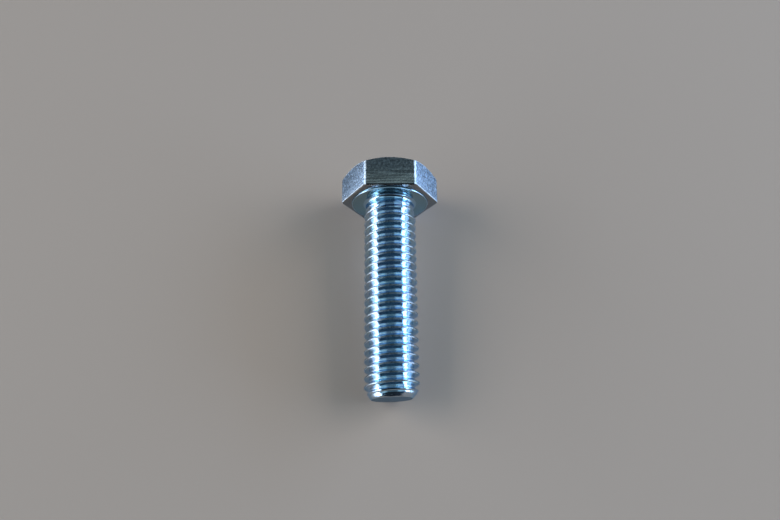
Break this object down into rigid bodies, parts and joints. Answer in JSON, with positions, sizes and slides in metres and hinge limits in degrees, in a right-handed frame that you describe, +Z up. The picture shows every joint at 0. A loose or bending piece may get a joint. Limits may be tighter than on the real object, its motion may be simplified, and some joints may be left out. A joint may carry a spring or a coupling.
{
  "type": "hex head screw",
  "caption": "Bright zinc-plated steel screw with a hexagon head and a right-hand metric thread over its whole length, lying on its side.",
  "frame": {"origin": "middle of the bearing face under the head, on the screw's axis", "axes": "the axis lies along Y, with the head towards +Y and the tip towards -Y, pointing 5 degrees down as the screw lies; +Z is up, and one flat of the head faces up"},
  "size_m": [0.0147, 0.0358, 0.0134],
  "materials": {
    "zinc_plated_steel": "bright blue-white zinc plating over cold-headed and rolled steel: glossy on the thread, with fine lines and a light frost on the head"
  },
  "bodies": {
    "root": {"hex_screw": "zinc_plated_steel"}
  },
  "joints": []
}
